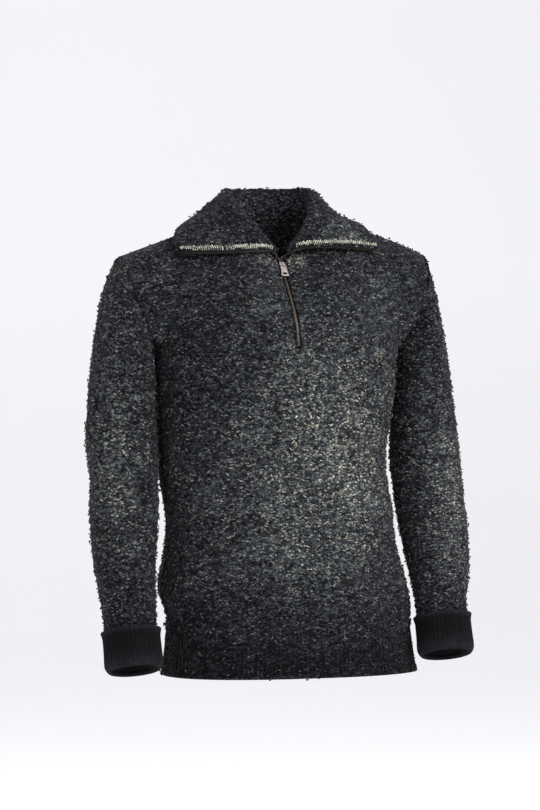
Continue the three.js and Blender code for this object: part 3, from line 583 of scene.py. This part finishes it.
creamAndPaintedLightSpots = [
    # centre and reach in mm, and how much lighter or darker the yarn is coloured there: partly its cream
    # flecks, partly painted light and painted shade
    ((45, 0, -390), (140, 900, 225), 0.80),
    ((115, -120, -330), (75, 90, 170), 0.34),
    ((-108, -120, -413), (85, 90, 95), 0.22),
    ((30, -130, -540), (90, 90, 60), 0.20),
    ((10, -125, -253), (55, 80, 60), 0.22),
    # painted light: lighter patches beside the zip, where the collar shades the cloth
    ((-30, -66, -55), (17, 26, 12), 2.3),
    ((21, -64, -62), (14, 26, 13), 2.3),
    # painted light: lighter streaks down the fronts of the sleeves
    ((280, -60, -450), (32, 80, 150), 0.85),
    ((-268, -60, -390), (36, 80, 150), 0.60),
    ((270, 20, -420), (40, 60, 150), 0.35),
    ((-262, 20, -420), (40, 60, 150), 0.35),
    ((-30, 110, -330), (110, 80, 150), 0.30),
    # painted shade: darker towards the hem
    ((0, 0, -720), (900, 900, 90), -0.75),
]


def creamAndPaintedLightZone(points, base, spots=creamAndPaintedLightSpots):
    # cream flecks with painted light and shade, set by where each point lies on the garment
    zone = np.full(len(points), float(base))
    for centre, reach, strength in spots:
        away = (points - np.array(centre) * mm) / (np.array(reach) * mm)
        zone += strength * np.exp(-(away ** 2).sum(1))
    patchy = np.array([noise.noise(Vector(p * 24)) for p in points])
    return np.clip(zone + 0.22 * patchy, -0.8, 1.1)


def storeFloat(mesh, name, values):
    layer = mesh.attributes.get(name) or mesh.attributes.new(name, "FLOAT", "POINT")
    layer.data.foreach_set("value", np.asarray(values, dtype=np.float32))


def nubs(points, across, high):
    # rounded loops of yarn, wider than they are tall
    scale = np.array([1 / across, 1 / across, 1 / high]) / mm
    tall = np.empty(len(points))
    for i, p in enumerate(points * scale):
        spot = Vector(p + 0.35 * np.sin(p[::-1] * 1.7))
        near = noise.voronoi(spot)[0]
        tall[i] = min(1.0, (near[1] - near[0]) * 1.15) * 0.65 + 0.35 * (0.5 + 0.5 * noise.noise(spot * 0.6))
    return tall


def ribHeight(mesh, points, rings=14):
    # how far each point stands out from its surroundings, so crests are above 0 and troughs below
    edges = edgesOf(mesh)
    joined = np.maximum(np.bincount(edges.ravel(), minlength=len(points)), 1)[:, None]
    soft = points.copy()
    for _ in range(rings):
        around = np.column_stack([
            np.bincount(edges[:, 0], soft[edges[:, 1], i], len(points)) +
            np.bincount(edges[:, 1], soft[edges[:, 0], i], len(points)) for i in range(3)])
        soft = 0.5 * soft + 0.5 * around / joined
    return ((points - soft) * normalsOf(mesh)).sum(1)


def besideZip(points, reach):
    # 1 where a zip tape lies closer than reach, 0 elsewhere
    near = np.zeros(len(points))
    for name in ("zip_tape_right", "zip_tape_left"):
        form = mergedForm(name)
        tree = BVHTree.FromBMesh(form)
        form.free()
        near += [tree.find_nearest(Vector(p), reach)[0] is not None for p in points]
    return np.minimum(near, 1)


def levelOut(points, line):
    # the level direction from a tube's middle line out to each point
    away = points - middleAt(line, points[:, 2])
    away[:, 2] = 0
    return away / np.maximum(np.linalg.norm(away, axis=1), 1e-6)[:, None]


ribSunk, nubSunk = 0.6, 0.8          # shares of rib and nub height that go into the cloth
onCrest, inTrough = 2.2, 0.15        # how dense the loops are on a rib's crest and between ribs
rimBare, zipDark = 6 * mm, 0.8


def dressShell(s):
    piece = clothShell(s)
    mesh = piece.data
    points, line = pointsOf(mesh), s["line"]
    if s.get("folds"):
        points = points + levelOut(points, line) * foldLift(points, s["folds"])[:, None]
        placed(mesh, points)
    mask, touching = shownMask(mesh)
    # the hidden side gets a middle loft, which the painted hollow shade of the knit darkens part way
    loft = np.where(mask > 0, 0.0, 0.5)
    shown = mask > 0
    away = normalsOf(mesh)
    if s.get("ribs"):
        # ribs rise straight out, so that the two ends of a rib band stay beside each other
        away = levelOut(points, line)
        high = ribHeight(mesh, points)
        high -= high[shown].mean()
        deep = np.clip(high / (np.abs(high[shown]).mean() * 2), -1, 1)
        points = points + away * ((deep - ribSunk) * mask * s["ribs"] * mm)[:, None]
        loft[shown] = 0.5 + 0.5 * deep[shown]
    if s["relief"]:
        tall = np.zeros(len(points))
        tall[shown] = nubs(points[shown], *s["nub"])
        points = points + away * ((tall - nubSunk) * mask * s["relief"] * mm)[:, None]
        loft[shown] = loft[shown] * tall[shown] if s.get("ribs") else tall[shown]
    placed(mesh, points)
    storeFloat(mesh, "loft", loft)
    dense = touching * (2 - shownMask(mesh, 8)[0])
    zone = creamAndPaintedLightZone(points, s["light"], s.get("spots", creamAndPaintedLightSpots))
    if s.get("ribs"):
        # most loops stand on the ribs' crests, and none close to the lowest point
        crest = deep > np.median(deep[shown])
        dense *= np.where(crest, onCrest, inTrough) * (points[:, 2] > points[:, 2].min() + rimBare)
    if s.get("zip"):
        # bare and dark beside the zip
        near = besideZip(points, s["zip"] * mm)
        dense *= 1 - near
        zone -= zipDark * near
    storeFloat(mesh, "outside", dense)
    storeFloat(mesh, "zone", zone)
    mesh.materials.clear()
    mesh.materials.append(s["look"])
    mesh.polygons.foreach_set("material_index", np.zeros(len(mesh.polygons), dtype=np.int32))
    mesh.shade_smooth()
    mesh.update()
    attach(piece, "garment")
    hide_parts(s["node"])
    print("cloth", s["name"], "faces", len(mesh.polygons))
    return piece


# the collar's cream flecks with painted light: lighter on the right leaf, where it faces the light
collarCreamAndPaintedLightSpots = [
    ((105, -70, -25), (60, 60, 45), 0.6),
    ((-110, -80, -40), (60, 60, 30), 0.3),
    ((0, 60, 10), (80, 60, 60), 0.25),
]
knitSet = {"levels": 2, "relief": 3.0, "nub": (7.0, 4.2), "look": matKnit, "slot": "boucle",
           "yarn": 18500}
bodySet = {**knitSet, "line": bodyLine, "folds": bodyFolds, "flat": (0.53, 0.72)}
sleeveSet = {**knitSet, "flat": (0.37, 0.60)}
hemSet = {**knitSet, "line": bodyLine, "levels": 1, "ribs": 2.2, "relief": 0.9, "nub": (6.0, 4.4),
          "light": 0.48, "flat": (0.56, 0.085), "yarn": 8000}
cuffSet = {"levels": 1, "fine": False, "ribs": 2.0, "relief": 0, "light": 0, "look": matRib,
           "slot": "black_rib", "flat": (0.26, 0.125), "area": 0.031}
shellSet = [
    {**bodySet, "name": "front_cloth", "node": "front_panel", "light": 0.04, "zip": 3.5, "area": 0.335},
    {**bodySet, "name": "back_cloth", "node": "back_panel", "light": 0.10, "area": 0.333, "yarn": 14500},
    {**sleeveSet, "name": "sleeve_right_cloth", "node": "sleeve_right", "line": armLine["right"],
     "folds": armFolds["right"], "light": 0.16, "area": 0.175},
    {**sleeveSet, "name": "sleeve_left_cloth", "node": "sleeve_left", "line": armLine["left"],
     "folds": armFolds["left"], "light": 0.10, "area": 0.174},
    {**knitSet, "name": "collar_cloth", "node": "collar", "line": bodyLine, "both": True,
     "relief": 2.4, "nub": (6.0, 4.0), "light": -0.18, "spots": collarCreamAndPaintedLightSpots,
     "flat": (0.56, 0.30), "area": 0.143},
    {**hemSet, "name": "hem_front_cloth", "node": "hem_rib_front", "area": 0.046},
    {**hemSet, "name": "hem_back_cloth", "node": "hem_rib_back", "area": 0.045},
    {**cuffSet, "name": "cuff_right_cloth", "node": "cuff_right", "line": armLine["right"]},
    {**cuffSet, "name": "cuff_left_cloth", "node": "cuff_left", "line": armLine["left"]},
]
shells = {s["name"]: dressShell(s) for s in shellSet}
seamSet = [("front_cloth", "back_cloth"), ("hem_front_cloth", "hem_back_cloth")]


def closeSeam(piece, beside, reach=1.3 * mm, past=1.25):
    # the rim along a seam is drawn up to the piece that it is sewn to
    tree, points = treeOf(beside.data), pointsOf(piece.data)
    for i, p in enumerate(points):
        spot = tree.find_nearest(Vector(p), reach)[0]
        if spot is not None:
            points[i] += (np.array(spot) - p) * past
    placed(piece.data, points)


for name, beside in seamSet:
    closeSeam(shells[name], shells[beside])


# loops of yarn that stand off the knit

curlSet = [
    {"turn": 185, "ring": 1.7, "thick": 1.2, "squash": 0.9},
    {"turn": 150, "ring": 2.1, "thick": 1.1, "squash": 0.8},
    {"turn": 115, "ring": 2.4, "thick": 1.0, "squash": 1.15},
]


def curl(name, s):
    # an arch of thick yarn with its feet a little under the cloth
    loop = bmesh.new()
    ring = bmesh.ops.create_circle(loop, segments=3, radius=s["thick"] * mm)["verts"]
    bmesh.ops.translate(loop, verts=ring, vec=(s["ring"] * mm, 0, 0))
    bmesh.ops.spin(loop, geom=list(loop.verts) + list(loop.edges), cent=(0, 0, 0), axis=(0, -1, 0),
                   angle=math.radians(s["turn"]), steps=3)
    bmesh.ops.rotate(loop, verts=loop.verts, cent=(0, 0, 0),
                     matrix=Matrix.Rotation(math.radians((s["turn"] - 180) / 2), 3, "Y"))
    bmesh.ops.scale(loop, verts=loop.verts, vec=(1, 1, s["squash"]))
    bmesh.ops.recalc_face_normals(loop, faces=loop.faces)
    mesh = meshFrom(loop, name)
    mesh.shade_smooth()
    return linked(name, mesh)


def yarnNodes(curls):
    group = bpy.data.node_groups.new("yarn_loops", "GeometryNodeTree")
    face = group.interface
    face.new_socket(name="Geometry", in_out="INPUT", socket_type="NodeSocketGeometry")
    face.new_socket(name="Density", in_out="INPUT", socket_type="NodeSocketFloat")
    face.new_socket(name="Geometry", in_out="OUTPUT", socket_type="NodeSocketGeometry")
    add, join = group.nodes.new, group.links.new
    start, end = add("NodeGroupInput"), add("NodeGroupOutput")
    outside = add("GeometryNodeInputNamedAttribute")
    outside.inputs["Name"].default_value = "outside"
    dense = add("ShaderNodeMath")
    dense.operation = "MULTIPLY"
    join(start.outputs["Density"], dense.inputs[0])
    join(outside.outputs["Attribute"], dense.inputs[1])
    spread = add("GeometryNodeDistributePointsOnFaces")
    spread.inputs["Seed"].default_value = 7
    join(start.outputs["Geometry"], spread.inputs["Mesh"])
    join(dense.outputs[0], spread.inputs["Density"])
    # each loop stands on the cloth's normal, its feet side by side along a level line
    stand = add("FunctionNodeAlignRotationToVector")
    stand.axis = "Z"
    join(spread.outputs["Normal"], stand.inputs["Vector"])
    side = add("ShaderNodeVectorMath")
    side.operation = "CROSS_PRODUCT"
    side.inputs[0].default_value = (0, 0, 1)
    join(spread.outputs["Normal"], side.inputs[1])
    level = add("FunctionNodeAlignRotationToVector")
    level.axis, level.pivot_axis = "X", "Z"
    join(stand.outputs[0], level.inputs["Rotation"])
    join(side.outputs[0], level.inputs["Vector"])
    lean = add("FunctionNodeRandomValue")
    lean.data_type = "FLOAT_VECTOR"
    lean.inputs["Min"].default_value = (-1.15, -0.5, -0.9)
    lean.inputs["Max"].default_value = (1.15, 0.5, 0.9)
    turn = add("FunctionNodeRotateRotation")
    turn.rotation_space = "LOCAL"
    join(level.outputs[0], turn.inputs["Rotation"])
    join(lean.outputs[0], turn.inputs["Rotate By"])
    size = add("FunctionNodeRandomValue")
    size.inputs[2].default_value, size.inputs[3].default_value = 0.7, 1.2
    pool = add("GeometryNodeCollectionInfo")
    pool.inputs["Collection"].default_value = curls
    pool.inputs["Separate Children"].default_value = True
    pool.inputs["Reset Children"].default_value = True
    place = add("GeometryNodeInstanceOnPoints")
    place.inputs["Pick Instance"].default_value = True
    join(spread.outputs["Points"], place.inputs["Points"])
    join(pool.outputs[0], place.inputs["Instance"])
    join(turn.outputs[0], place.inputs["Rotation"])
    join(size.outputs[1], place.inputs["Scale"])
    shade = add("GeometryNodeStoreNamedAttribute")
    shade.domain, shade.data_type = "INSTANCE", "FLOAT"
    shade.inputs["Name"].default_value = "shade"
    dye = add("FunctionNodeRandomValue")
    dye.inputs["Seed"].default_value = 11
    join(place.outputs[0], shade.inputs["Geometry"])
    join(dye.outputs[1], shade.inputs["Value"])
    real = add("GeometryNodeRealizeInstances")
    join(shade.outputs[0], real.inputs["Geometry"])
    join(real.outputs[0], end.inputs[0])
    return group


def dressYarn(s, shell, group):
    holder = linked(s["name"].replace("cloth", "yarn"), shell.data)
    loops = holder.modifiers.new("loops", "NODES")
    loops.node_group = group
    loops[group.interface.items_tree["Density"].identifier] = float(s["yarn"])
    mesh = evaluated(holder)
    holder.modifiers.clear()
    holder.data = mesh
    mesh.name = holder.name
    mesh.materials.clear()
    mesh.materials.append(matYarn)
    mesh.shade_smooth()
    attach(holder, "garment")
    print("yarn", holder.name, "faces", len(mesh.polygons))
    return holder


curls = bpy.data.collections.new("curls")
for i, s in enumerate(curlSet):
    piece = curl(f"curl_{i}", s)
    scene.collection.objects.unlink(piece)
    curls.objects.link(piece)
loopNodes = yarnNodes(curls)
yarns = {s["name"]: dressYarn(s, shells[s["name"]], loopNodes) for s in shellSet if s.get("yarn")}
bpy.data.node_groups.remove(loopNodes)
for piece in list(curls.objects):
    bpy.data.objects.remove(piece)
bpy.data.collections.remove(curls)


# zip

teethSet = {"pitch": 2.3, "across": 3.5, "long": 1.25, "tall": 1.9, "sink": 0.9, "past": 1.0,
            "bevel": 0.22}
ladderSet = {"pitch": 3.5, "start": 3.0, "reach": 6.5, "uneven": 0.18, "thick": 1.05, "lift": 1.3,
             "feet": 0.4, "points": 5, "sunk": 2.4, "above": 12, "deep": 13}


def tapeRings(form):
    # the tape's sections from its foot to the free end, each six points in the same order
    foot = min(form.verts, key=lambda v: v.co.z)
    cap = [f for f in foot.link_faces if all(v.co.z < foot.co.z + 0.4 * mm for v in f.verts)]
    ring = {v for f in cap for v in f.verts}
    grown = True
    while grown:
        more = {v for f in form.faces if all(u.co.z < foot.co.z + 2 * mm for u in f.verts)
                for v in f.verts}
        grown = len(more) > len(ring)
        ring = more
    hub = max(ring, key=lambda v: sum(all(u in ring for u in f.verts) for f in v.link_faces))
    order, seen = [hub], {hub}
    around = [v for v in ring if v is not hub and any(
        len(e.link_faces) == 2 and hub in e.verts and v in e.verts
        and sum(all(u in ring for u in f.verts) for f in e.link_faces) == 1 for e in hub.link_edges)]
    order.append(max(around, key=lambda v: (v.co - hub.co).length))
    seen.add(order[-1])
    while len(order) < len(ring):
        last = order[-1]
        step = [v for v in ring if v not in seen and any(
            v in e.verts and sum(all(u in ring for u in f.verts) for f in e.link_faces) == 1
            for e in last.link_edges)]
        order.append(step[0])
        seen.add(step[0])
    rings = [order]
    while True:
        last = rings[-1]
        beside = [[e.other_vert(v) for e in v.link_edges] for v in last]
        ahead = {u for row in beside for u in row} - seen
        if len(ahead) < len(last) - 1:
            break
        # of the ways to follow the mesh's edges on to every point ahead, the shortest
        ways = [w for w in product(*([u for u in row if u in ahead] for row in beside))
                if len(set(w)) == len(ahead)]
        rings.append(min(ways, key=lambda w: sum((a.co - b.co).length for a, b in zip(last, w))))
        seen |= ahead
    return [[v.co.copy() for v in ring] for ring in rings]


def evenly(path, pitch):
    # even steps along rows of (point, across, up)
    gone = [0.0]
    for a, b in zip(path, path[1:]):
        gone.append(gone[-1] + (b[0] - a[0]).length)
    spots, at = [], pitch / 2
    while at < gone[-1]:
        k = max(i for i, g in enumerate(gone) if g <= at)
        t = (at - gone[k]) / (gone[k + 1] - gone[k])
        spots.append([path[k][i].lerp(path[k + 1][i], t) for i in range(3)])
        at += pitch
    return spots


def loadTape(side):
    name = f"zip_tape_{side}"
    form = bmesh.new()
    form.from_mesh(nodes[name].data)
    bmesh.ops.remove_doubles(form, verts=form.verts, dist=0.005 * mm)
    rings = tapeRings(form)
    print(name, "rings", len(rings))
    edges = [e for e in form.edges if e.is_manifold and e.calc_face_angle() > math.radians(50)]
    bmesh.ops.bevel(form, geom=edges, offset=0.25 * mm, segments=1, affect="EDGES", profile=0.5,
                    material=-1, clamp_overlap=True)
    mesh = meshFrom(form, name + "_cloth")
    mesh.materials.append(matTape)
    tape = linked(name + "_cloth", mesh)
    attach(tape, "garment")
    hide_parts(name)
    # the bead's top: middle, direction over the tape, direction out of it
    path = [((p[4] + p[5]) / 2, (p[4] - p[5]).normalized(), (p[4] - p[3]).normalized()) for p in rings]
    return tape, path


def makeTeeth(name, paths, s):
    teeth = bmesh.new()
    for path, offset in paths:
        for spot, across, up in evenly(path, s["pitch"] * mm):
            along = up.cross(across).normalized()
            where = spot - across * (s["across"] / 2 - s["past"]) * mm + along * offset * mm
            where += up * (s["tall"] / 2 - s["sink"]) * mm
            turned = Matrix((across, along, across.cross(along))).transposed().to_4x4()
            size = Matrix.Diagonal((s["across"] * mm, s["long"] * mm, s["tall"] * mm, 1))
            bmesh.ops.create_cube(teeth, size=1, matrix=Matrix.Translation(where) @ turned @ size)
    bmesh.ops.bevel(teeth, geom=list(teeth.edges), offset=s["bevel"] * mm, segments=1, affect="EDGES",
                    profile=0.5, material=-1)
    bmesh.ops.recalc_face_normals(teeth, faces=teeth.faces)
    mesh = meshFrom(teeth, name)
    mesh.materials.append(matTeeth)
    piece = linked(name, mesh)
    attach(piece, "garment")


def makeLadder(name, paths, s):
    # strands of cream yarn over the collar's zip edges, on both of its faces
    tree = treeOf(shells["collar_cloth"].data)
    strands = bpy.data.curves.new(name, "CURVE")
    strands.dimensions = "3D"
    strands.bevel_depth, strands.bevel_resolution = s["thick"] * mm, 1
    strands.use_fill_caps = True
    for path in paths:
        for (i, (spot, across, up)), face in product(enumerate(evenly(path, s["pitch"] * mm)), (1, -1)):
            reach = s["reach"] * (1 + s["uneven"] * math.sin(i * 2.4 + face))
            points = []
            for k in range(s["points"]):
                over = spot + across * (s["start"] + reach * k / (s["points"] - 1)) * mm
                over -= up * s["sunk"] * mm
                hit, normal = tree.ray_cast(over + up * face * s["above"] * mm, -up * face,
                                            s["deep"] * mm)[:2]
                if hit is not None:
                    bow = math.sin(math.pi * (k + 0.6) / s["points"])
                    points.append(hit + normal * (s["lift"] * bow - s["feet"]) * mm)
            # a strand that misses the collar or jumps to another part of it is left out
            if len(points) < s["points"] or (points[0] - points[-1]).length > 2 * reach * mm:
                continue
            strand = strands.splines.new("POLY")
            strand.points.add(len(points) - 1)
            for place, p in zip(strand.points, points):
                place.co = (*p, 1)
    holder = bpy.data.objects.new(name, strands)
    scene.collection.objects.link(holder)
    mesh = evaluated(holder)
    bpy.data.objects.remove(holder)
    mesh.name = name
    mesh.materials.clear()
    mesh.materials.append(matCream)
    mesh.shade_smooth()
    piece = linked(name, mesh)
    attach(piece, "garment")
    print("ladder strands", len(strands.splines), "faces", len(mesh.polygons))


def metalPiece(node, name, body, bevel):
    form = bmesh.new()
    form.from_mesh(nodes[node].data)
    bmesh.ops.remove_doubles(form, verts=form.verts, dist=0.005 * mm)
    bmesh.ops.dissolve_limit(form, angle_limit=math.radians(4), verts=form.verts, edges=form.edges)
    edges = [e for e in form.edges if e.is_manifold and e.calc_face_angle() > math.radians(40)]
    bmesh.ops.bevel(form, geom=edges, offset=bevel * mm, segments=2, affect="EDGES", profile=0.5,
                    material=-1, clamp_overlap=True)
    mesh = meshFrom(form, name)
    mesh.materials.append(matSlider)
    piece = linked(name, mesh)
    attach(piece, body)
    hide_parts(node)


tapes, paths = {}, {}
for side in ("right", "left"):
    tapes[side], paths[side] = loadTape(side)
# the left row of teeth is set half a pitch further on
makeTeeth("zip_teeth", [(paths["right"], 0.0), (paths["left"], teethSet["pitch"] / 2)], teethSet)
openFrom = 9   # the first of the tape's sections that lies along the collar
makeLadder("collar_ladder", [paths[side][openFrom:] for side in paths], ladderSet)
metalPiece("zip_slider", "slider_body", "garment", 0.2)
metalPiece("zip_pull_tab", "pull_tab_metal", "pull_tab", 0.25)
print("zip made")
